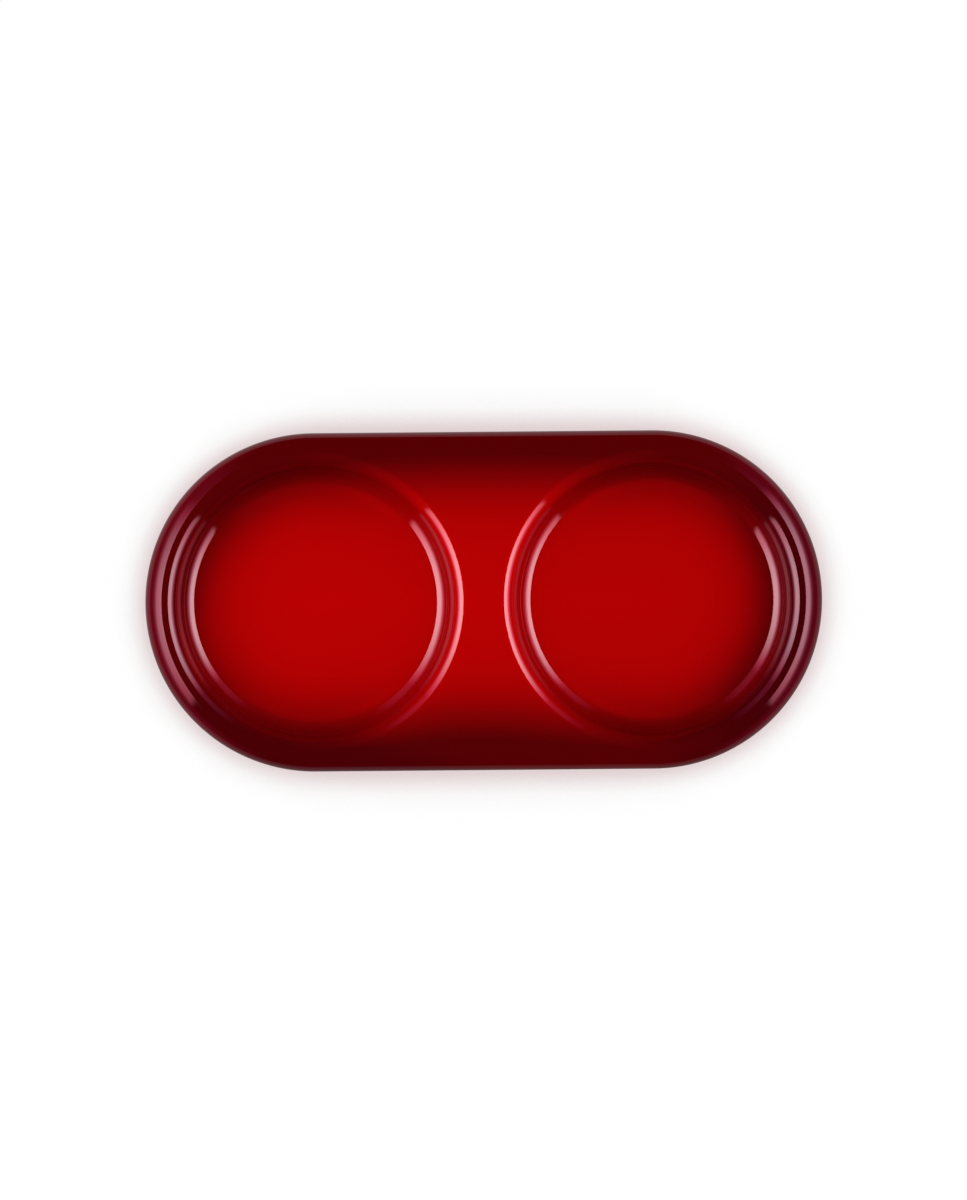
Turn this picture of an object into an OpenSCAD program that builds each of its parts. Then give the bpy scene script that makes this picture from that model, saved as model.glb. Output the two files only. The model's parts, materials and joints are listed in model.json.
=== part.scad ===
// Oblong stoneware tray with two sunken wells that keep a pepper mill and a salt mill side by side.
// Origin: on the table, under the middle of the tray. X runs along the tray, Z up. Millimetres.

/* [Wells] */
// Diameter of the flat floor that a mill stands on
well_floor_d = 64.4; // [50:0.1:90]
// Radius of the hollow corner between a well's floor and its wall
well_floor_round = 3.7; // [1:0.1:8]
// Slope of a well's wall, in degrees
well_slope = 66; // [50:1:88]
// Straight height of a well's wall between its two rounded corners
well_wall_h = 2.4; // [0.1:0.1:12]
// Radius of the rounded lip of a well
well_lip_round = 3; // [1:0.1:8]
// Flat land left between the lips of the two wells
saddle_land = 10.6; // [6:0.1:30]

/* [Outer wall] */
// Flat land left between a well's lip and the rounded upper edge at the sides
rim_land = 1.2; // [0.4:0.1:12]
// The same land at the two ends
end_land = 1.5; // [0.4:0.1:12]
// Radius of the rounded upper edge
edge_round = 4.4; // [1:0.1:6]
// Radius of the rounded lower edge
base_round = 3; // [1:0.1:6]

/* [Foot and underside] */
// Height of the bare foot ring below the outer wall
foot_h = 1.5; // [0.8:0.1:5]
// Width of the foot ring
foot_w = 3.5; // [2:0.1:6]
// Bare ledge between the foot ring and the rounded lower edge
foot_ledge = 1; // [0.4:0.1:4]
// Radius that softens the two edges of the foot ring
foot_edge_round = 0.6; // [0.2:0.1:0.8]
// Rise of the hollow's ceiling above the top of the foot ring
recess_rise = 2.5; // [0.5:0.1:4]
// Radius of the hollow corner inside the foot ring
recess_round = 1.4; // [0.5:0.1:2]
// Thickness of the tray from a well's floor to the hollow under it
floor_t = 5.6; // [4:0.1:12]

/* [Relief under the saddle] */
// Thickness left between a well's wall and the relief
saddle_wall = 4.6; // [2:0.1:6]
// Distance left between the relief's round ends and the foot ring
relief_end_gap = 11; // [4:0.1:20]
// Straight height of the relief's wall between its two rounded corners
relief_wall_h = 1.6; // [0.1:0.1:4]
// Radius of the hollow corner at the top of the relief
relief_top_round = 2.2; // [0.5:0.1:3.5]
// Radius of the rounded mouth of the relief
relief_mouth_round = 1.6; // [0.8:0.1:3]

/* [Glaze] */
// Thickness of the fired glaze
glaze = 0.5; // [0.2:0.05:0.7]

/* [Hidden] */
$fn = 96;
// How far a cutting shape runs past the face that it cuts
over = 2;

// Well, from its floor outwards
well_floor_r = well_floor_d / 2;
well_wall_r = well_floor_r + well_floor_round * sin(well_slope);
well_mouth_r = well_wall_r + well_wall_h / tan(well_slope) + well_lip_round * sin(well_slope);
well_depth = well_wall_h + (well_floor_round + well_lip_round) * (1 - cos(well_slope));
well_pitch = 2 * well_mouth_r + saddle_land;

// Levels above the table
recess_z = foot_h + recess_rise;
well_floor_z = recess_z + floor_t;
rim_z = well_floor_z + well_depth;

// Outer wall and foot ring, measured from the tray's long middle line
half_w = well_mouth_r + rim_land + edge_round;
tray_pitch = well_pitch + 2 * (end_land - rim_land);
foot_outer_r = half_w - base_round - foot_ledge;
foot_inner_r = foot_outer_r - foot_w;

// Relief: an oblong hollow across the tray, open towards the table
relief_half_w = well_pitch / 2 - well_wall_r - saddle_wall;
relief_crown_r = relief_half_w - relief_top_round;
relief_crown_z = recess_z + relief_mouth_round + relief_wall_h + relief_top_round;
relief_pitch = 2 * (foot_inner_r - relief_end_gap - relief_half_w);

// Waste outside an arc about the origin that turns from the X axis, for rounding a corner
module corner_waste(r, turn = 90) {
    reach = r + over;
    difference() {
        polygon([
            [0, 0],
            [reach, 0],
            [reach, reach * tan(turn / 2)],
            [reach * cos(turn), reach * sin(turn)],
        ]);
        circle(r);
    }
}

// Sweeps a half section, drawn at x >= 0, round a racetrack whose ends are pitch apart along X
module racetrack(pitch) {
    for (end = [-1, 1])
        translate([end * pitch / 2, 0, 0])
            rotate(-90 * end)
                rotate_extrude(angle = 180)
                    children();
    rotate([90, 0, 90])
        linear_extrude(pitch, center = true) {
            children();
            mirror([1, 0]) children();
        }
}

// Half section of a dish's hollow, its floor at height 0: hollow corner, sloping wall, flared lip.
// grow moves every face outwards, into whatever the dish is cut from.
module dish_section(floor_r, floor_round, slope, wall_h, lip_round, grow) {
    lean = cos(slope) / sin(slope);
    depth = wall_h + (floor_round + lip_round) * (1 - cos(slope));
    mouth_r = floor_r + (floor_round + lip_round) * sin(slope) + wall_h * lean;
    foot_r = floor_r + (floor_round + grow) * tan(slope / 2);
    top = depth + over;
    difference() {
        polygon([[0, -grow], [foot_r, -grow], [foot_r + (grow + top) * lean, top], [0, top]]);
        translate([floor_r, floor_round]) rotate(-90) corner_waste(floor_round + grow, slope);
    }
    translate([mouth_r, depth - lip_round]) rotate(90) corner_waste(lip_round - grow, slope);
}

// Half section of the tray's block without its foot, every face moved in by inset
module block_section(inset) {
    difference() {
        translate([0, foot_h + inset]) square([half_w - inset, rim_z - foot_h - 2 * inset]);
        translate([half_w - edge_round, rim_z - edge_round]) corner_waste(edge_round - inset);
        translate([half_w - base_round, foot_h + base_round])
            mirror([0, 1])
                corner_waste(base_round - inset);
    }
}

// Half section of the foot ring, reaching up into the body
module foot_section() {
    difference() {
        translate([foot_inner_r, 0]) square([foot_w, recess_z + glaze]);
        translate([foot_outer_r - foot_edge_round, foot_edge_round])
            mirror([0, 1])
                corner_waste(foot_edge_round);
        translate([foot_inner_r + foot_edge_round, foot_edge_round])
            rotate(180)
                corner_waste(foot_edge_round);
    }
}

// Half section of the hollow inside the foot ring, every face moved in by inset
module recess_section(inset) {
    difference() {
        translate([0, -over]) square([foot_inner_r - inset, over + recess_z + glaze - inset]);
        translate([foot_inner_r - glaze - recess_round, recess_z - recess_round])
            corner_waste(recess_round + glaze - inset);
    }
}

// Both wells, as the shape to cut away
module wells(grow) {
    for (side = [-1, 1])
        translate([side * well_pitch / 2, 0, well_floor_z])
            rotate_extrude()
                dish_section(well_floor_r, well_floor_round, well_slope, well_wall_h, well_lip_round, grow);
}

// The oblong relief under the saddle, as the shape to cut away
module relief(grow) {
    translate([0, 0, relief_crown_z])
        mirror([0, 0, 1])
            rotate(90)
                racetrack(relief_pitch)
                    dish_section(relief_crown_r, relief_top_round, 90, relief_wall_h, relief_mouth_round, grow);
}

// The hollow under the tray with the relief above it, every face moved in by inset
module underside_hollow(inset) {
    racetrack(tray_pitch) recess_section(inset);
    relief(glaze - inset);
}

// Clay block with its wells, before the foot and the underside are formed
module clay_block() {
    difference() {
        racetrack(tray_pitch) block_section(glaze);
        wells(glaze);
    }
}

// Fired clay body; its bare foot ring is all of it that shows
module stoneware_body() {
    color("#d9c7ab")
        difference() {
            union() {
                clay_block();
                racetrack(tray_pitch) foot_section();
            }
            underside_hollow(0);
        }
}

// Red glaze over the rim, the wells and the outer wall, ending under the rounded lower edge
module upper_glaze() {
    color("#a40d12")
        difference() {
            racetrack(tray_pitch) block_section(0);
            wells(0);
            clay_block();
            racetrack(tray_pitch) square([half_w - base_round, foot_h + base_round]);
        }
}

// Red glaze in the hollow under the tray, ending on the inside of the foot ring
module base_glaze() {
    color("#8c0b10")
        difference() {
            underside_hollow(0);
            underside_hollow(glaze);
            racetrack(tray_pitch) translate([0, -2 * over]) square([foot_inner_r + over, 2 * over + foot_h]);
        }
}

stoneware_body();
upper_glaze();
base_glaze();
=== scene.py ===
"""Looks of an oblong stoneware mill tray: red gloss glaze, shaded dark at the rim, on a buff clay body.

Metres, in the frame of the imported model: X along the tray, Y towards the back, Z up from the table.
"""
import json
import math

import bmesh
import bpy
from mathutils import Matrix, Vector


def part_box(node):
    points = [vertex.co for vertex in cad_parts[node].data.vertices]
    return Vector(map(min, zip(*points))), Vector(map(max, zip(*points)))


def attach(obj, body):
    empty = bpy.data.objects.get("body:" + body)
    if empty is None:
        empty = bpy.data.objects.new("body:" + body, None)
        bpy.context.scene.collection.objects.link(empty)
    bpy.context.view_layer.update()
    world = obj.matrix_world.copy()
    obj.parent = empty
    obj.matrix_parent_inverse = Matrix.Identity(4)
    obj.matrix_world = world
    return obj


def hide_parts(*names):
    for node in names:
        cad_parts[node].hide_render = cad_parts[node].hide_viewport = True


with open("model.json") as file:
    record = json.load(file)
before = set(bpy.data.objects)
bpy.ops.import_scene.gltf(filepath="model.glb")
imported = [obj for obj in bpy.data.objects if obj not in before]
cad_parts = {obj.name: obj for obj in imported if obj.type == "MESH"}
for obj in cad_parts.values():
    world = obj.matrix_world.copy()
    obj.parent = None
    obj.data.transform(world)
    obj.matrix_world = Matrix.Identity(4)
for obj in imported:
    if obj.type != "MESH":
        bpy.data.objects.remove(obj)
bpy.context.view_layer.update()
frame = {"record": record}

MM = 0.001

# Sizes that the frame gives
glaze_low, glaze_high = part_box("upper_glaze")
clay_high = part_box("stoneware_body")[1]
base_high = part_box("base_glaze")[1]
mounts = {mount["name"]: mount["pos_m"] for mount in frame["record"]["mounts"]}
HALF_WIDTH = glaze_high.y
END_X = glaze_high.x - glaze_high.y
WELL_X = mounts["right_well_floor"][0]
RIM_Z = glaze_high.z
FOOT_TOP_Z = glaze_low.z
GLAZE = RIM_Z - clay_high.z
FOOT_INNER_R = base_high.y
WELL_FLOOR_Z = mounts["left_well_floor"][2]
RELIEF_CROWN_Z = base_high.z - GLAZE

# Wells and outer wall
WELL_FLOOR_R = 32.2 * MM
WELL_FLOOR_ROUND = 3.7 * MM
WELL_LIP_ROUND = 3 * MM
WELL_SLOPE = math.radians(66)
WELL_WALL_H = 2.4 * MM
WELL_MOUTH_R = (
    WELL_FLOOR_R
    + (WELL_FLOOR_ROUND + WELL_LIP_ROUND) * math.sin(WELL_SLOPE)
    + WELL_WALL_H / math.tan(WELL_SLOPE)
)
EDGE_ROUND = 4.4 * MM
BASE_ROUND = 3 * MM

# Foot ring, the hollow inside it and the relief under the saddle
FOOT_W = 3.5 * MM
FOOT_EDGE_ROUND = 0.6 * MM
FOOT_ROOT_ROUND = 0.3 * MM
RECESS_Z = 4 * MM
RECESS_ROUND = 1.4 * MM
RELIEF_HALF_W = 4.51 * MM
RELIEF_END_GAP = 11 * MM
RELIEF_END_Y = FOOT_INNER_R - RELIEF_END_GAP - RELIEF_HALF_W
RELIEF_TOP_ROUND = 2.2 * MM
RELIEF_MOUTH_ROUND = 1.6 * MM

# Fineness of the meshes, and the strip beside a rounding that keeps a flat face flat
GLOSS_ARC = 22
MATT_ARC = 8
ROUND_STEPS = 96
RELIEF_STEPS = 24
HOLD = 0.15 * MM
TOUCH = 0.01 * MM
SMOOTH_ANGLE = math.radians(40)

# Softly rolled edge where a glaze ends
GLAZE_EDGE_ROUND = 0.12 * MM
GLAZE_EDGE_STEPS = 3
GLAZE_EDGE_ANGLE = math.radians(60)


def deselect_everything():
    bpy.ops.object.select_all(action="DESELECT")


def make_active(piece):
    """Leaves one object selected and active."""
    deselect_everything()
    piece.select_set(True)
    bpy.context.view_layer.objects.active = piece


def near(a, b):
    return abs(a - b) < TOUCH


def pick_point(piece, place):
    """In edit mode, selects only the vertex at a place."""
    bpy.ops.mesh.select_mode(type="VERT")
    bpy.ops.mesh.select_all(action="DESELECT")
    mesh = bmesh.from_edit_mesh(piece.data)
    for vertex in mesh.verts:
        if all(near(a, b) for a, b in zip(vertex.co, place)):
            vertex.select_set(True)
    bmesh.update_edit_mesh(piece.data)


def pick_open_edges(piece, height):
    """In edit mode, selects only the open edges that lie at a height."""
    bpy.ops.mesh.select_mode(type="EDGE")
    bpy.ops.mesh.select_all(action="DESELECT")
    mesh = bmesh.from_edit_mesh(piece.data)
    for edge in mesh.edges:
        if edge.is_boundary and all(near(vertex.co.z, height) for vertex in edge.verts):
            edge.select_set(True)
    bmesh.update_edit_mesh(piece.data)


def draw_profile(name, x, points, arc_steps):
    """Draws a half section as a chain of edges in the plane at x, and stays in edit mode.

    A point is a distance from the middle line, a height and how far from its corner the rounding starts.
    """
    deselect_everything()
    bpy.ops.mesh.primitive_plane_add(size=MM, location=(x, points[0][0], points[0][1]))
    piece = bpy.context.active_object
    piece.name = name
    bpy.ops.object.transform_apply(location=True, rotation=True, scale=True)
    bpy.ops.object.mode_set(mode="EDIT")
    bpy.ops.mesh.select_mode(type="VERT")
    bpy.ops.mesh.select_all(action="SELECT")
    bpy.ops.mesh.merge(type="CENTER")
    for before, after in zip(points, points[1:]):
        step = (0, after[0] - before[0], after[1] - before[1])
        bpy.ops.mesh.extrude_vertices_move(TRANSFORM_OT_translate={"value": step})
    for distance, height, rounding in points:
        if rounding:
            pick_point(piece, (x, distance, height))
            bpy.ops.mesh.bevel(offset=rounding, segments=arc_steps, affect="VERTICES")
    bpy.ops.mesh.select_all(action="SELECT")
    return piece


def close_seams():
    """In edit mode, merges the doubles that a full turn or a sweep leaves."""
    bpy.ops.mesh.select_all(action="SELECT")
    bpy.ops.mesh.remove_doubles(threshold=TOUCH)


def sweep_racetrack(name, end_x, points, arc_steps, round_steps):
    """Sweeps a half section round two half circles about (+-end_x, 0) and along the sides between them."""
    piece = draw_profile(name, end_x, points, arc_steps)
    for side in (1, -1):
        centre = (side * end_x, 0, 0)
        bpy.ops.mesh.spin(steps=round_steps, angle=math.pi, center=centre, axis=(0, 0, 1))
        bpy.ops.mesh.extrude_edges_move(TRANSFORM_OT_translate={"value": (-2 * side * end_x, 0, 0)})
    close_seams()
    bpy.ops.object.mode_set(mode="OBJECT")
    return piece


def turn_wells(name, grow, arc_steps):
    """Turns one well about its own axis and copies it to the other end.

    grow sinks its faces into the clay.
    """
    floor_z = WELL_FLOOR_Z - grow
    top_z = RIM_Z - grow
    floor_round = (WELL_FLOOR_ROUND + grow) * math.tan(WELL_SLOPE / 2)
    lip_round = (WELL_LIP_ROUND - grow) * math.tan(WELL_SLOPE / 2)
    points = [
        (0, floor_z, 0),
        (WELL_FLOOR_R - HOLD, floor_z, 0),
        (WELL_FLOOR_R + floor_round, floor_z, floor_round),
        (WELL_MOUTH_R - lip_round, top_z, lip_round),
        (WELL_MOUTH_R + HOLD, top_z, 0),
    ]
    piece = draw_profile(name, WELL_X, points, arc_steps)
    bpy.ops.mesh.spin(steps=2 * ROUND_STEPS, angle=2 * math.pi, center=(WELL_X, 0, 0), axis=(0, 0, 1))
    close_seams()
    bpy.ops.mesh.duplicate_move(TRANSFORM_OT_translate={"value": (-2 * WELL_X, 0, 0)})
    bpy.ops.object.mode_set(mode="OBJECT")
    return piece


def sweep_relief(name, grow, arc_steps):
    """Sweeps the oblong relief under the saddle, and turns it across the tray.

    grow sinks its faces into the clay.
    """
    crown_z = RELIEF_CROWN_Z + grow
    wall_r = RELIEF_HALF_W + grow
    mouth_z = RECESS_Z + grow
    top_round = RELIEF_TOP_ROUND + grow
    mouth_round = RELIEF_MOUTH_ROUND - grow
    points = [
        (wall_r - top_round - HOLD, crown_z, 0),
        (wall_r, crown_z, top_round),
        (wall_r, mouth_z, mouth_round),
        (wall_r + mouth_round + HOLD, mouth_z, 0),
    ]
    piece = sweep_racetrack(name, RELIEF_END_Y, points, arc_steps, RELIEF_STEPS)
    bpy.ops.object.mode_set(mode="EDIT")
    pick_open_edges(piece, crown_z)
    bpy.ops.mesh.edge_face_add()
    bpy.ops.mesh.select_all(action="SELECT")
    bpy.ops.transform.rotate(value=math.pi / 2, orient_axis="Z", center_override=(0, 0, 0))
    bpy.ops.object.mode_set(mode="OBJECT")
    return piece


def join_sheets(first, *others):
    """Joins sheets into the first of them."""
    make_active(first)
    for sheet in others:
        sheet.select_set(True)
    bpy.ops.object.join()
    return first


def fill_flat(piece, height):
    """Fills the flat face between all open edges at a height."""
    bpy.ops.object.mode_set(mode="EDIT")
    pick_open_edges(piece, height)
    bpy.ops.mesh.fill(use_beauty=True)
    bpy.ops.object.mode_set(mode="OBJECT")


def face_outwards(piece, height, up):
    """Makes the normals agree, with the flat face at a height looking up or down."""
    bpy.ops.object.mode_set(mode="EDIT")
    close_seams()
    bpy.ops.mesh.normals_make_consistent(inside=False)
    mesh = bmesh.from_edit_mesh(piece.data)
    flat = [face for face in mesh.faces if all(near(vertex.co.z, height) for vertex in face.verts)]
    if (flat[0].normal.z > 0) != up:
        bpy.ops.mesh.flip_normals()
    bpy.ops.object.mode_set(mode="OBJECT")


def apply_modifier(piece, kind, **settings):
    """Adds a modifier and applies it at once."""
    make_active(piece)
    modifier = piece.modifiers.new(kind.title(), kind)
    for key, value in settings.items():
        setattr(modifier, key, value)
    bpy.ops.object.modifier_apply(modifier=modifier.name)


def thicken_glaze(piece):
    """Gives a sheet of glaze its thickness, into the clay, with a softly rolled edge where it ends."""
    apply_modifier(piece, "SOLIDIFY", thickness=GLAZE, offset=-1, use_even_offset=True)
    apply_modifier(
        piece, "BEVEL", width=GLAZE_EDGE_ROUND, segments=GLAZE_EDGE_STEPS,
        limit_method="ANGLE", angle_limit=GLAZE_EDGE_ANGLE,
    )


def smooth(piece):
    make_active(piece)
    bpy.ops.object.shade_smooth_by_angle(angle=SMOOTH_ANGLE)


def make_upper_glaze():
    """Glaze over the rim, the wells and the outer wall, ending under the rounded lower edge."""
    points = [
        (HALF_WIDTH - EDGE_ROUND - HOLD, RIM_Z, 0),
        (HALF_WIDTH, RIM_Z, EDGE_ROUND),
        (HALF_WIDTH, FOOT_TOP_Z, BASE_ROUND),
        (HALF_WIDTH - BASE_ROUND - HOLD, FOOT_TOP_Z, 0),
    ]
    wall = sweep_racetrack("upper_glaze_coat", END_X, points, GLOSS_ARC, ROUND_STEPS)
    coat = join_sheets(wall, turn_wells("well_sheets", 0, GLOSS_ARC))
    fill_flat(coat, RIM_Z)
    face_outwards(coat, RIM_Z, up=True)
    thicken_glaze(coat)
    smooth(coat)
    return coat


def make_base_glaze():
    """Glaze in the hollow under the tray, ending on the inside of the foot ring."""
    wall_r = FOOT_INNER_R - GLAZE
    points = [
        (wall_r, FOOT_TOP_Z, 0),
        (wall_r, RECESS_Z, RECESS_ROUND),
        (wall_r - RECESS_ROUND - HOLD, RECESS_Z, 0),
    ]
    ceiling = sweep_racetrack("base_glaze_coat", END_X, points, MATT_ARC, ROUND_STEPS)
    coat = join_sheets(ceiling, sweep_relief("relief_sheet", 0, MATT_ARC))
    fill_flat(coat, RECESS_Z)
    face_outwards(coat, RECESS_Z, up=False)
    thicken_glaze(coat)
    smooth(coat)
    return coat


def make_clay_body():
    """Fired clay under both glazes, with its bare foot ring."""
    wall_r = HALF_WIDTH - GLAZE
    top_z = RIM_Z - GLAZE
    ledge_z = FOOT_TOP_Z + GLAZE
    foot_outer_r = FOOT_INNER_R + FOOT_W
    ceiling_z = RECESS_Z + GLAZE
    recess_round = RECESS_ROUND + GLAZE
    points = [
        (wall_r - EDGE_ROUND + GLAZE - HOLD, top_z, 0),
        (wall_r, top_z, EDGE_ROUND - GLAZE),
        (wall_r, ledge_z, BASE_ROUND - GLAZE),
        (foot_outer_r, ledge_z, FOOT_ROOT_ROUND),
        (foot_outer_r, 0, FOOT_EDGE_ROUND),
        (FOOT_INNER_R, 0, FOOT_EDGE_ROUND),
        (FOOT_INNER_R, ceiling_z, recess_round),
        (FOOT_INNER_R - recess_round - HOLD, ceiling_z, 0),
    ]
    wall = sweep_racetrack("stoneware_clay", END_X, points, MATT_ARC, ROUND_STEPS)
    wells = turn_wells("clay_wells", GLAZE, MATT_ARC)
    relief = sweep_relief("clay_relief", GLAZE, MATT_ARC)
    body = join_sheets(wall, wells, relief)
    fill_flat(body, top_z)
    fill_flat(body, ceiling_z)
    face_outwards(body, top_z, up=True)
    smooth(body)
    return body


def add_node(tree, kind, inputs=None, **settings):
    """Adds a shader node. An input is a plain value or the socket that feeds it."""
    node = tree.nodes.new("ShaderNode" + kind)
    for key, value in settings.items():
        setattr(node, key, value)
    for key, value in (inputs or {}).items():
        if isinstance(value, bpy.types.NodeSocket):
            tree.links.new(value, node.inputs[key])
        else:
            node.inputs[key].default_value = value
    return node


def maths(tree, operation, a, b=0.0):
    return add_node(tree, "Math", {0: a, 1: b}, operation=operation).outputs[0]


def fade(tree, value, span, first=0.0, last=1.0, course="SMOOTHSTEP"):
    """Passes from first to last while a value crosses a span, and stays there."""
    inputs = {0: value, 1: span[0], 2: span[1], 3: first, 4: last}
    return add_node(tree, "MapRange", inputs, interpolation_type=course).outputs[0]


def along(tree, place, direction):
    """How far a place lies along a direction."""
    return add_node(tree, "VectorMath", {0: place, 1: direction}, operation="DOT_PRODUCT").outputs["Value"]


def length_of(tree, vector):
    return add_node(tree, "VectorMath", {0: vector}, operation="LENGTH").outputs["Value"]


def noise(tree, position, per_metre, **settings):
    """Cloudy noise with so many clouds to the metre."""
    return add_node(tree, "TexNoise", {"Vector": position, "Scale": per_metre, **settings}).outputs[0]


def mix_values(tree, factor, first, second):
    return add_node(tree, "Mix", {0: factor, 2: first, 3: second}, data_type="FLOAT").outputs[0]


def mix_colours(tree, factor, first, second, blend="MIX"):
    inputs = {0: factor, 6: first, 7: second}
    return add_node(tree, "Mix", inputs, data_type="RGBA", blend_type=blend).outputs[2]


def colour_ramp(tree, factor, stops):
    """stops are (position, linear red, green, blue)."""
    ramp = add_node(tree, "ValToRGB", {"Fac": factor})
    elements = ramp.color_ramp.elements
    while len(elements) < len(stops):
        elements.new(0.5)
    for element, (place, *colour) in zip(elements, stops):
        element.position = place
        element.color = (*colour, 1)
    return ramp.outputs["Color"]


def new_group(name, inputs, outputs):
    """Starts a node group that reads a position and plain values, and puts out values."""
    tree = bpy.data.node_groups.new(name, "ShaderNodeTree")
    tree.interface.new_socket("Position", in_out="INPUT", socket_type="NodeSocketVector")
    for label in inputs:
        tree.interface.new_socket(label, in_out="INPUT", socket_type="NodeSocketFloat")
    for label in outputs:
        tree.interface.new_socket(label, in_out="OUTPUT", socket_type="NodeSocketFloat")
    return tree, tree.nodes.new("NodeGroupInput").outputs, tree.nodes.new("NodeGroupOutput").inputs


def use_group(tree, group, inputs):
    """Places a shared node group and sets its inputs."""
    return add_node(tree, "Group", inputs, node_tree=group).outputs


# Clouds by which the spray wanders, to both sides of their mean
WANDER_PER_METRE = 28.0
NOISE_MEAN = 0.5
MM_PER_METRE = 1000.0


def make_rim_shade_group():
    """Distance from the outline of an oblong with round ends, in millimetres, wandering a little."""
    tree, given, made = new_group("rim_shade", ["Half Width", "End", "Wander"], ["Distance"])
    parts = add_node(tree, "SeparateXYZ", {0: given["Position"]}).outputs
    from_end = maths(tree, "SUBTRACT", maths(tree, "ABSOLUTE", parts["X"]), given["End"])
    past_end = maths(tree, "MAXIMUM", from_end, 0.0)
    flat = add_node(tree, "CombineXYZ", {0: past_end, 1: parts["Y"]}).outputs[0]
    inside = maths(tree, "SUBTRACT", given["Half Width"], length_of(tree, flat))
    clouds = noise(tree, given["Position"], WANDER_PER_METRE, Detail=2.0, Roughness=0.45)
    drift = maths(tree, "MULTIPLY", maths(tree, "SUBTRACT", clouds, NOISE_MEAN), given["Wander"])
    distance = maths(tree, "MULTIPLY", maths(tree, "ADD", inside, drift), MM_PER_METRE)
    tree.links.new(distance, made["Distance"])
    return tree


# Rings about a well's axis: the radii between which each one appears, and those between which it goes
WELL_RINGS = {
    "Floor Edge": ((0.0285, 0.0305), (0.0324, 0.0312)),
    "Corner": ((0.0313, 0.0337), (0.0374, 0.0358)),
    "Wall": ((0.0343, 0.0355), (0.0383, 0.0372)),
    "Wall Top": ((0.0354, 0.0364), (0.0376, 0.0367)),
    "Lip": ((0.0362, 0.0380), (0.0402, 0.0390)),
}


def make_well_bands_group():
    """Soft rings about the two wells' axes: masks for painted light and shade, and for the walls' thin
    coat.

    Outwards runs from -1 on the side of the saddle to 1 on the side of the tray's end.
    """
    tree, given, made = new_group("well_bands", ["Centre"], [*WELL_RINGS, "Outwards"])
    parts = add_node(tree, "SeparateXYZ", {0: given["Position"]}).outputs
    past_centre = maths(tree, "SUBTRACT", maths(tree, "ABSOLUTE", parts["X"]), given["Centre"])
    from_centre = add_node(tree, "CombineXYZ", {0: past_centre, 1: parts["Y"]}).outputs[0]
    radius = length_of(tree, from_centre)
    for band, (rising, falling) in WELL_RINGS.items():
        ring = maths(tree, "MULTIPLY", fade(tree, radius, rising), fade(tree, radius, falling))
        tree.links.new(ring, made[band])
    tree.links.new(maths(tree, "DIVIDE", past_centre, radius), made["Outwards"])
    return tree


# Skin of a fired gloss glaze: its waves, its orange peel, and drifts that make it glossier or hazier
WAVES_PER_METRE = 90.0
PEEL_PER_METRE = 900.0
HAZE_PER_METRE = 240.0
NOISE_SPAN = (0.3, 0.7)
HAZE_GAIN = (0.8, 1.3)


def make_glaze_skin_group():
    """Height and roughness of a fired gloss glaze: slow waves, orange peel and small drifts of gloss."""
    tree, given, made = new_group("glaze_skin", ["Waves", "Peel", "Gloss"], ["Height", "Roughness"])
    waves = noise(tree, given["Position"], WAVES_PER_METRE, Detail=1.0)
    peel = noise(tree, given["Position"], PEEL_PER_METRE, Detail=1.0)
    slow = maths(tree, "MULTIPLY", waves, given["Waves"])
    fine = maths(tree, "MULTIPLY", peel, given["Peel"])
    tree.links.new(maths(tree, "ADD", slow, fine), made["Height"])
    haze = noise(tree, given["Position"], HAZE_PER_METRE, Detail=3.0)
    spread = fade(tree, haze, NOISE_SPAN, *HAZE_GAIN, course="LINEAR")
    tree.links.new(maths(tree, "MULTIPLY", spread, given["Gloss"]), made["Roughness"])
    return tree


def make_specks_group():
    """Mask of small dark specks, as iron leaves in fired clay."""
    tree, given, made = new_group("iron_specks", ["Per Metre", "Size", "Share"], ["Mask"])
    cells = add_node(tree, "TexVoronoi", {"Vector": given["Position"], "Scale": given["Per Metre"]}).outputs
    spot = maths(tree, "LESS_THAN", cells["Distance"], given["Size"])
    dice = add_node(tree, "SeparateColor", {0: cells["Color"]}).outputs[0]
    chosen = maths(tree, "LESS_THAN", dice, given["Share"])
    tree.links.new(maths(tree, "MULTIPLY", spot, chosen), made["Mask"])
    return tree


RIM_SHADE = make_rim_shade_group()
WELL_BANDS = make_well_bands_group()
GLAZE_SKIN = make_glaze_skin_group()
IRON_SPECKS = make_specks_group()

# How far a bump's height of 1 stands out
BUMP_DISTANCE = 0.0001


def start_material(name):
    """A material with its object coordinates and its one shader."""
    material = bpy.data.materials.new(name)
    material.use_nodes = True
    tree = material.node_tree
    position = add_node(tree, "TexCoord").outputs["Object"]
    return material, tree, position, tree.nodes["Principled BSDF"].inputs


def add_bumps(tree, shader, height, strength):
    """Tilts the surface's normals as a height rises and falls."""
    inputs = {"Height": height, "Strength": strength, "Distance": BUMP_DISTANCE}
    tree.links.new(add_node(tree, "Bump", inputs).outputs[0], shader["Normal"])


def add_glaze_skin(tree, position, shader, skin, strength):
    """Gives a glaze its roughness and its waves."""
    surface = use_group(tree, GLAZE_SKIN, {"Position": position, **skin})
    tree.links.new(surface["Roughness"], shader["Roughness"])
    add_bumps(tree, shader, surface["Height"], strength)


# Share of bright red in the glaze by distance from the outline, in millimetres
SHADE_REACH = 45.0
BRIGHT_BY_DISTANCE = [
    (0, 0), (6, 0.005), (8.5, 0.1), (12.5, 0.32), (16.5, 0.57),
    (20.5, 0.75), (24.5, 0.875), (30.5, 0.95), (45, 1),
]
BRIGHT_RED_LEFT = (0.505, 0.0002, 0.0004, 1)
BRIGHT_RED_RIGHT = (0.460, 0.0002, 0.0004, 1)
LEFT_TO_RIGHT = (-0.07, 0.07)
RIM_RED_THIN = (0.088, 0.0003, 0.0010, 1)
RIM_RED_HEAVY = (0.052, 0.0003, 0.0016, 1)
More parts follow.
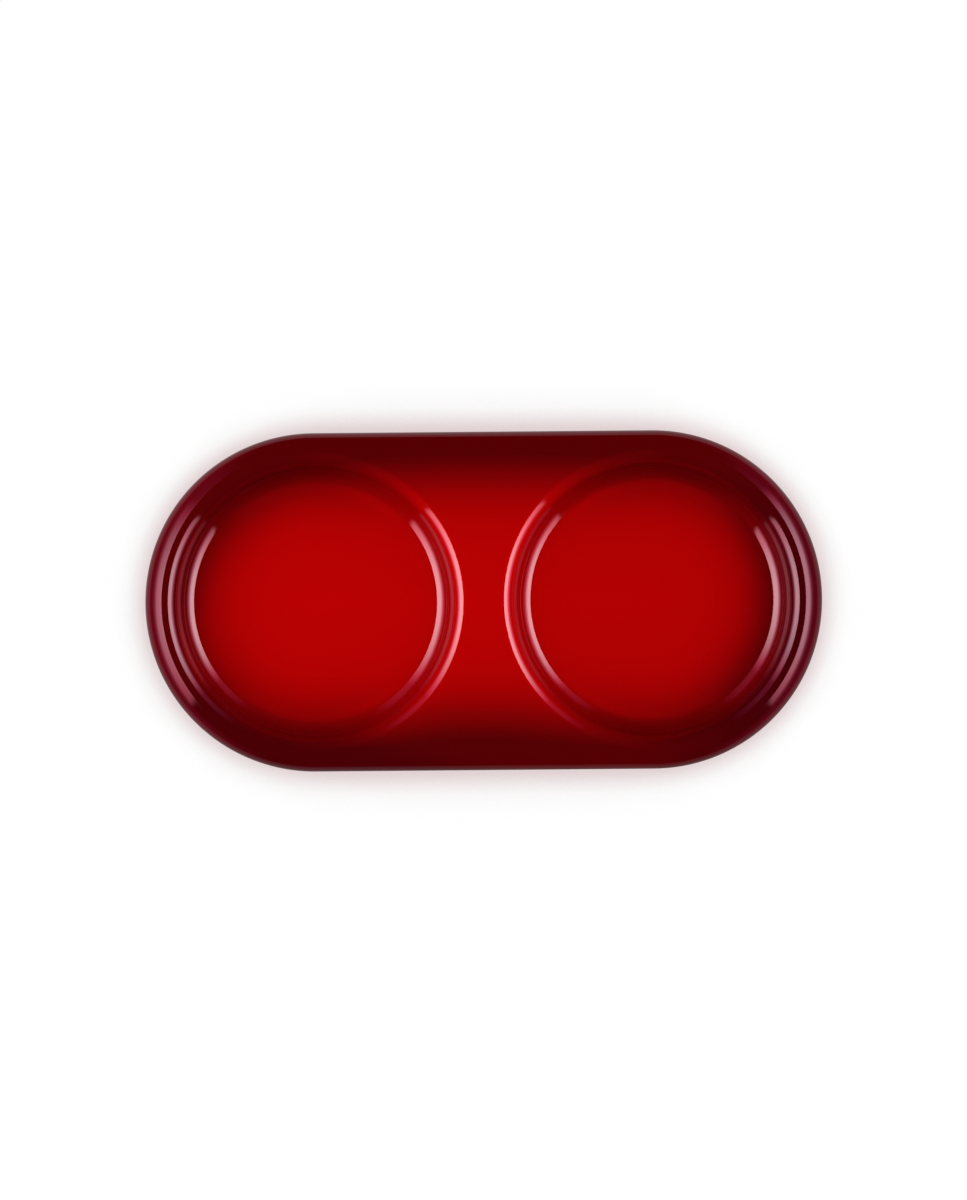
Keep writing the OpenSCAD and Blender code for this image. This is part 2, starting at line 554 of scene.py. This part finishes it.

# Painted reflection and side light on the outer edge of the round ends, as a plum tinge: distances from the
# outline and from the middle
EDGE_PAINTED_REFLECTION = (0.045, 0.002, 0.006, 1)
EDGE_SPAN = (3.0, 1.5)
EDGE_ENDS = (0.055, 0.080)

# Where the dark spray is heavier: a direction, and how far along it the patch starts and is whole
SPRAY_PATCHES = {
    "right end": ((0.97, -0.25, 0), (0.045, 0.085)),
    "left back": ((-0.7, 0.71, 0), (0.042, 0.064)),
    "right back": ((0.6, 0.8, 0), (0.034, 0.066)),
    "left front": ((-0.3, -0.95, 0), (0.038, 0.050)),
}
# One more patch, at the middle of the front: the spans from the middle and towards the front
MIDDLE_SPAN = (0.03, 0.005)
FRONT_SPAN = (0.0, -0.03)
# How far patches carry the dark inwards, in millimetres. The one at the left front is only darker
SPRAY_REACH = {"right end": 4.4, "left back": 3.0, "right back": 0.8, "middle front": 2.0}
LEFT_FRONT_SHARE = 0.7
# How far inside the outline the spray starts, in millimetres, and how far it wanders, in metres
SPRAY_START = 0.3
SPRAY_WANDER = 0.0012


def make_spray_patches(tree, position, off_middle, y):
    """Masks of the places where the dark spray is heavier than elsewhere."""
    patches = {}
    for name, (direction, span) in SPRAY_PATCHES.items():
        patches[name] = fade(tree, along(tree, position, direction), span)
    middle = fade(tree, off_middle, MIDDLE_SPAN)
    patches["middle front"] = maths(tree, "MULTIPLY", middle, fade(tree, y, FRONT_SPAN))
    return patches


def spray_red(tree, patches, bands, outline, x, off_middle):
    """Red of the sprayed glaze: bright in the middle, dark by the rim, with a painted plum reflection on
    the edges at the ends.
    """
    # Painted light: at the right end the heavier spray leaves the wells' corners out, so they stay lighter
    off_corner = maths(tree, "SUBTRACT", 1.0, bands["Corner"])
    heavier = {**patches, "right end": maths(tree, "MULTIPLY", patches["right end"], off_corner)}
    distance = maths(tree, "SUBTRACT", outline, SPRAY_START)
    for name, reach in SPRAY_REACH.items():
        distance = maths(tree, "SUBTRACT", distance, maths(tree, "MULTIPLY", heavier[name], reach))
    stops = [(d / SHADE_REACH, share, share, share) for d, share in BRIGHT_BY_DISTANCE]
    bright = colour_ramp(tree, maths(tree, "DIVIDE", distance, SHADE_REACH), stops)
    left_front = maths(tree, "MULTIPLY", patches["left front"], LEFT_FRONT_SHARE)
    heavy = maths(tree, "MAXIMUM", patches["right end"], left_front)
    rim_red = mix_colours(tree, heavy, RIM_RED_THIN, RIM_RED_HEAVY)
    bright_red = mix_colours(tree, fade(tree, x, LEFT_TO_RIGHT), BRIGHT_RED_LEFT, BRIGHT_RED_RIGHT)
    red = mix_colours(tree, bright, rim_red, bright_red)
    # Painted reflection and side light: plum added on the outer edge of the round ends
    edge = maths(tree, "MULTIPLY", fade(tree, outline, EDGE_SPAN), fade(tree, off_middle, EDGE_ENDS))
    return mix_colours(tree, edge, red, EDGE_PAINTED_REFLECTION, "ADD")


# Painted light and shade in the wells: brighter lips, wall tops and floor edges, darker corners
LIP_PAINTED_LIGHT = (0.14, 0.25)
WALL_TOP_PAINTED_REFLECTION = 0.8
FLOOR_EDGE_PAINTED_LIGHT = 0.12
LEFT_CORNER_PAINTED_SHADE = 0.10
RIGHT_CORNER_PAINTED_SHADE = 0.25
# Towards the tray's end a corner's painted shade turns to painted light, by this share of its strength
# elsewhere
CORNER_END_PAINTED_LIGHT = -0.5
# Spans over which these come in: towards the saddle or the end, from front to back, and along the tray
SADDLE_SIDE = (0.25, -0.2)
LIP_FRONT_TO_BACK = (-0.01, 0.015)
END_SIDE = (0.75, 0.95)
FAR_SIDES = (0.018, 0.028)
CORNER_LEFT_TO_RIGHT = (-0.05, 0.05)
CORNER_TO_END = (0.3, 0.9)


def paint_light_and_shade_in_wells(tree, bands, x, y):
    """Gain on the sprayed red in the wells: painted light and reflection on lips, wall tops and floor
    edges, painted shade in corners.
    """
    saddle_side = fade(tree, bands["Outwards"], SADDLE_SIDE)
    # Painted light: the lips on the saddle side, lighter towards the back
    saddle_lip_light = maths(tree, "MULTIPLY", saddle_side, fade(tree, y, LIP_FRONT_TO_BACK, *LIP_PAINTED_LIGHT))
    # Painted reflection: a redder band at the wall's top on each well's end side, standing in for the red
    # line the wall reflects there
    end_wall_reflection = fade(tree, bands["Outwards"], END_SIDE, 0.0, WALL_TOP_PAINTED_REFLECTION)
    # Painted light: the floor's edge lighter at the front and back of each well, lifting the shade beside
    # the wall
    floor_edge_light = fade(tree, maths(tree, "ABSOLUTE", y), FAR_SIDES, 0.0, FLOOR_EDGE_PAINTED_LIGHT)
    # Painted shade in the hollow corners, darker to the right, turning to painted light at the tray's ends
    corner_shade_and_light = fade(tree, x, CORNER_LEFT_TO_RIGHT, -LEFT_CORNER_PAINTED_SHADE, -RIGHT_CORNER_PAINTED_SHADE)
    corner_shade_and_light = maths(tree, "MULTIPLY", corner_shade_and_light, fade(tree, bands["Outwards"], CORNER_TO_END, 1.0, CORNER_END_PAINTED_LIGHT))
    gains = {"Lip": saddle_lip_light, "Wall Top": end_wall_reflection, "Floor Edge": floor_edge_light, "Corner": corner_shade_and_light}
    # Gain of the painted light and shade, on top of the sprayed red
    clear = 1.0
    for band, gain in gains.items():
        clear = maths(tree, "ADD", clear, maths(tree, "MULTIPLY", bands[band], gain))
    return clear


# Gloss of the red glaze: its own reflection is red, and the clear coat over it thins out on the rim
RED_SKIN = {"Waves": 0.6, "Peel": 0.05, "Gloss": 0.04}
RED_BUMPS = 0.06
RED_IOR = 1.68
RED_GLOSS_TINT = (1, 0.33, 0.46, 1)
COAT_ROUGHNESS = 0.03
COAT_SPAN = (3.6, 8.0)
COAT_WEIGHTS = (0.02, 1.0)
# At the right end the coat holds out on the upper edge, between these distances from the outline
HEAVY_EDGE_COAT = 0.32
HEAVY_EDGE_INSIDE = (6.0, 4.0)
HEAVY_EDGE_OUTSIDE = (2.3, 3.4)
THIN_COAT_AT_RIGHT_END = 0.15
THIN_COAT_ON_WALL = 0.9


def clear_coat(tree, right_end, wall, outline):
    """Weight of the clear coat: whole inside the rim, faint on the outer edge, thin on the wells' walls."""
    coat = fade(tree, outline, COAT_SPAN, *COAT_WEIGHTS, course="LINEAR")
    held = maths(tree, "MULTIPLY", right_end, fade(tree, outline, HEAVY_EDGE_INSIDE, 0.0, HEAVY_EDGE_COAT))
    held = maths(tree, "MULTIPLY", held, fade(tree, outline, HEAVY_EDGE_OUTSIDE))
    coat = maths(tree, "MAXIMUM", coat, held)
    for place, loss in ((right_end, THIN_COAT_AT_RIGHT_END), (wall, THIN_COAT_ON_WALL)):
        left = maths(tree, "SUBTRACT", 1.0, maths(tree, "MULTIPLY", place, loss))
        coat = maths(tree, "MULTIPLY", coat, left)
    return coat


def make_red_glaze():
    """Gloss red glaze sprayed dark towards the rim, with painted light, shade and reflection in the wells
    and on the ends' outer edges.
    """
    material, tree, position, shader = start_material("red_glaze")
    x = along(tree, position, (1, 0, 0))
    y = along(tree, position, (0, 1, 0))
    off_middle = maths(tree, "ABSOLUTE", x)
    bands = use_group(tree, WELL_BANDS, {"Position": position, "Centre": WELL_X})
    outline = use_group(tree, RIM_SHADE, {
        "Position": position, "Half Width": HALF_WIDTH, "End": END_X, "Wander": SPRAY_WANDER,
    })["Distance"]
    patches = make_spray_patches(tree, position, off_middle, y)
    sprayed = spray_red(tree, patches, bands, outline, x, off_middle)
    # Painted light and shade of the wells, as a gain on the sprayed red
    clear = paint_light_and_shade_in_wells(tree, bands, x, y)
    red = add_node(tree, "VectorMath", {0: sprayed, "Scale": clear}, operation="SCALE").outputs[0]
    tree.links.new(red, shader["Base Color"])
    tree.links.new(clear_coat(tree, patches["right end"], bands["Wall"], outline), shader["Coat Weight"])
    add_glaze_skin(tree, position, shader, RED_SKIN, RED_BUMPS)
    shader["IOR"].default_value = RED_IOR
    shader["Specular Tint"].default_value = RED_GLOSS_TINT
    shader["Coat Roughness"].default_value = COAT_ROUGHNESS
    return material


# Glaze of the underside: by its distance from the foot ring, a little darker beside it
BASE_REDS = [(0.0, 0.16, 0.002, 0.003), (0.2, 0.27, 0.002, 0.002), (0.8, 0.31, 0.002, 0.002)]
BASE_WANDER = 0.006
BASE_SKIN = {"Waves": 1.0, "Peel": 0.1, "Gloss": 0.08}
BASE_BUMPS = 0.3
BASE_IOR = 1.5


def make_base_red_glaze():
    """Even deep red gloss glaze of the underside."""
    material, tree, position, shader = start_material("base_red_glaze")
    distance = use_group(tree, RIM_SHADE, {
        "Position": position, "Half Width": FOOT_INNER_R, "End": END_X, "Wander": BASE_WANDER,
    })["Distance"]
    red = colour_ramp(tree, maths(tree, "DIVIDE", distance, SHADE_REACH), BASE_REDS)
    tree.links.new(red, shader["Base Color"])
    add_glaze_skin(tree, position, shader, BASE_SKIN, BASE_BUMPS)
    shader["IOR"].default_value = BASE_IOR
    return material


# Bare clay: buff clouds, specks of iron, and sand that makes it rough
BUFFS = [(0.3, 0.52, 0.40, 0.27), (0.7, 0.68, 0.55, 0.39)]
BUFF_CLOUDS_PER_METRE = 180.0
IRON_BROWN = (0.16, 0.10, 0.06, 1)
CLAY_SPECKS = {"Per Metre": 1400.0, "Size": 0.22, "Share": 0.25}
SAND_PER_METRE = 2600.0
CLAY_ROUGHNESS = (0.7, 0.9)
CLAY_BUMPS = 0.6


def make_bare_stoneware():
    """Fired bare clay: buff, sandy and matt, with iron specks."""
    material, tree, position, shader = start_material("bare_stoneware")
    clay = colour_ramp(tree, noise(tree, position, BUFF_CLOUDS_PER_METRE, Detail=6.0), BUFFS)
    specks = use_group(tree, IRON_SPECKS, {"Position": position, **CLAY_SPECKS})
    tree.links.new(mix_colours(tree, specks["Mask"], clay, IRON_BROWN), shader["Base Color"])
    sand = noise(tree, position, SAND_PER_METRE, Detail=3.0)
    rough = fade(tree, sand, NOISE_SPAN, *CLAY_ROUGHNESS, course="LINEAR")
    tree.links.new(rough, shader["Roughness"])
    add_bumps(tree, shader, sand, CLAY_BUMPS)
    return material


# Camera: straight above the tray, turned a little as in the photograph
IMAGE_W = 967
IMAGE_H = 1200
PIXELS_PER_METRE = 3762.0
CAMERA_X = -0.06 * MM
CAMERA_Y = 0.24 * MM
CAMERA_Z = 8.0
OUTLINE_Z = RIM_Z - EDGE_ROUND
CAMERA_TURN = math.radians(-0.5)
SENSOR = 36.0


def make_camera():
    data = bpy.data.cameras.new("camera")
    data.sensor_width = SENSOR
    data.lens = SENSOR * (CAMERA_Z - OUTLINE_Z) * PIXELS_PER_METRE / max(IMAGE_W, IMAGE_H)
    camera = bpy.data.objects.new("camera", data)
    camera.location = (CAMERA_X, CAMERA_Y, CAMERA_Z)
    camera.rotation_euler = (0, 0, CAMERA_TURN)
    bpy.context.scene.collection.objects.link(camera)
    bpy.context.scene.camera = camera


# Softboxes: tall upright panels at the left (-1) and right (1) of the tray, which only its gloss shows
BOX_X = 0.5
BOX_FRONT_Y = -0.45
BOX_BACK_Y = 0.9
BOX_LOW_Z = 0.1
BOX_TOP_Z = 5.0
BOX_RADIANCE = 4.9
# Where their light starts and is whole: upwards, at the slanting front edge, and from front to back
BOX_FADE_UP = {-1: (0.11, 0.7), 1: (0.15, 0.9)}
BOX_FRONT_EDGE = {-1: (-0.395, -0.35), 1: (-0.44, -0.395)}
BOX_FRONT_SLANT = 0.01
BOX_FADE_FROM_FRONT = (-0.62, -0.02)
BOX_FADE_TO_BACK = {-1: (0.0, 0.48), 1: (0.08, 0.52)}
BOX_BACK_TAIL = (0.35, 0.9)
BOX_BACK_TAIL_SHARE = 0.07
# The tints of their dim parts, and the spans over which these turn white
BOX_WHITE = (1, 1, 1, 1)
BOX_PINK_BELOW = (1.15, 0.4, 0.66, 1)
BOX_LOW_SPAN = (0.0, 0.9)
BOX_PINK_AT_BACK = (1.7, 0.32, 0.7, 1)
BOX_BACK_SPAN = (0.0, 0.7)
BOX_PINK_AT_FRONT = (1.25, 0.72, 0.8, 1)
BOX_FRONT_SPAN = (-0.32, -0.12)


def hang_softbox(side):
    """A panel whose light ends at the front, fades downwards and to the back, and is pink where dim."""
    data = bpy.data.lights.new("softbox", "AREA")
    data.shape = "RECTANGLE"
    data.size = BOX_TOP_Z - BOX_LOW_Z
    data.size_y = BOX_BACK_Y - BOX_FRONT_Y
    data.energy = BOX_RADIANCE * math.pi * data.size * data.size_y
    data.use_nodes = True
    tree = data.node_tree
    spot = add_node(tree, "SeparateXYZ", {0: add_node(tree, "NewGeometry").outputs["Position"]}).outputs
    upwards = fade(tree, spot["Z"], BOX_FADE_UP[side])
    slanted = maths(tree, "SUBTRACT", spot["Y"], maths(tree, "MULTIPLY", spot["Z"], BOX_FRONT_SLANT))
    edge = fade(tree, slanted, BOX_FRONT_EDGE[side])
    from_front = maths(tree, "MULTIPLY", edge, fade(tree, spot["Y"], BOX_FADE_FROM_FRONT))
    to_back = fade(tree, spot["Y"], BOX_FADE_TO_BACK[side], 1.0, 0.0)
    tail = fade(tree, spot["Y"], BOX_BACK_TAIL, BOX_BACK_TAIL_SHARE, 0.0)
    to_back = maths(tree, "MAXIMUM", to_back, tail)
    strength = maths(tree, "MULTIPLY", upwards, maths(tree, "MULTIPLY", from_front, to_back))
    colour = BOX_WHITE
    for value, span, pink in (
        (upwards, BOX_LOW_SPAN, BOX_PINK_BELOW),
        (to_back, BOX_BACK_SPAN, BOX_PINK_AT_BACK),
        (spot["Y"], BOX_FRONT_SPAN, BOX_PINK_AT_FRONT),
    ):
        tint = mix_colours(tree, fade(tree, value, span), pink, BOX_WHITE)
        colour = mix_colours(tree, 1.0, colour, tint, "MULTIPLY")
    glow = tree.nodes["Emission"].inputs
    tree.links.new(strength, glow["Strength"])
    tree.links.new(colour, glow["Color"])
    lamp = bpy.data.objects.new("softbox", data)
    lamp.location = (side * BOX_X, (BOX_FRONT_Y + BOX_BACK_Y) / 2, (BOX_LOW_Z + BOX_TOP_Z) / 2)
    lamp.rotation_euler = (0, side * math.pi / 2, 0)
    lamp.visible_camera = False
    lamp.visible_diffuse = False
    bpy.context.scene.collection.objects.link(lamp)


def ray_kinds(tree):
    """Whether a ray comes straight from the camera, and whether it comes off gloss or through glass."""
    rays = add_node(tree, "LightPath").outputs
    mirrored = maths(tree, "MAXIMUM", rays["Is Glossy Ray"], rays["Is Transmission Ray"])
    return rays["Is Camera Ray"], mirrored


# Table top, a hair below the foot so that the two faces don't fight
FLOOR_SIZE = 8.0
FLOOR_Z = -0.05 * MM
FLOOR_WHITE = (0.8, 0.8, 0.8, 1)
# Contact shadow: what share of the light is left, and the colour of the table there
SHADOW_REACH = 0.04
SHADOW_STOPS = [
    (0.54, 0.74, 0.63, 0.635), (0.60, 0.81, 0.72, 0.725), (0.66, 0.88, 0.83, 0.83),
    (0.72, 0.94, 0.93, 0.93), (0.77, 1, 1, 1),
]
# How bright the table is in reflections, beside the tray and far away, and where the room is brightest
MIRRORED_NEAR = 0.35
MIRRORED_FAR = 0.15
MIRRORED_SPAN = (0.1, 0.5)
ROOM_LEAN = (-0.1, 0.4, 0)


def make_floor():
    """White table top with the tray's soft contact shadow, dimmer in reflections than to the eye."""
    deselect_everything()
    bpy.ops.mesh.primitive_plane_add(size=FLOOR_SIZE, location=(0, 0, FLOOR_Z))
    floor = bpy.context.active_object
    floor.name = "table_top"
    material = bpy.data.materials.new("white_table")
    material.use_nodes = True
    tree = material.node_tree
    tree.nodes.remove(tree.nodes["Principled BSDF"])
    to_eye, mirrored = ray_kinds(tree)
    spot = add_node(tree, "NewGeometry").outputs["Position"]
    towards = add_node(tree, "VectorMath", {0: spot}, operation="NORMALIZE").outputs[0]
    lean = maths(tree, "ADD", along(tree, towards, ROOM_LEAN), 1.0)
    far = fade(tree, length_of(tree, spot), MIRRORED_SPAN, MIRRORED_NEAR, MIRRORED_FAR)
    strength = mix_values(tree, mirrored, 1.0, maths(tree, "MULTIPLY", lean, far))
    light_left = add_node(tree, "AmbientOcclusion", {"Distance": SHADOW_REACH}).outputs["AO"]
    shade = colour_ramp(tree, light_left, SHADOW_STOPS)
    glow = add_node(tree, "Emission", {"Color": shade, "Strength": strength}).outputs[0]
    paint = add_node(tree, "BsdfDiffuse", {"Color": FLOOR_WHITE}).outputs[0]
    seen = maths(tree, "MAXIMUM", to_eye, mirrored)
    both = add_node(tree, "MixShader", {0: seen, 1: paint, 2: glow}).outputs[0]
    tree.links.new(both, tree.nodes["Material Output"].inputs["Surface"])
    floor.data.materials.append(material)


# Even light on the object, and what its gloss sees of the room
AMBIENT = 1.10
MIRRORED_ROOM = 0.0


def make_world():
    """White to the eye, an even soft light to the object, and a dark room in reflections."""
    world = bpy.data.worlds.new("studio")
    world.use_nodes = True
    tree = world.node_tree
    to_eye, mirrored = ray_kinds(tree)
    cast = mix_values(tree, mirrored, AMBIENT, MIRRORED_ROOM)
    sky = tree.nodes["Background"].inputs
    tree.links.new(mix_values(tree, to_eye, cast, 1.0), sky["Strength"])
    sky["Color"].default_value = (1, 1, 1, 1)
    bpy.context.scene.world = world


for make, node, slot, paint in (
    (make_upper_glaze, "upper_glaze", "red_glaze", make_red_glaze),
    (make_base_glaze, "base_glaze", "base_red_glaze", make_base_red_glaze),
    (make_clay_body, "stoneware_body", "bare_stoneware", make_bare_stoneware),
):
    piece = make()
    piece.data.materials.clear()
    piece.data.materials.append(paint())
    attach(piece, "root")
    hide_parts(node)

make_camera()
hang_softbox(-1)
hang_softbox(1)
make_floor()
make_world()
bpy.context.scene.view_settings.view_transform = "Standard"
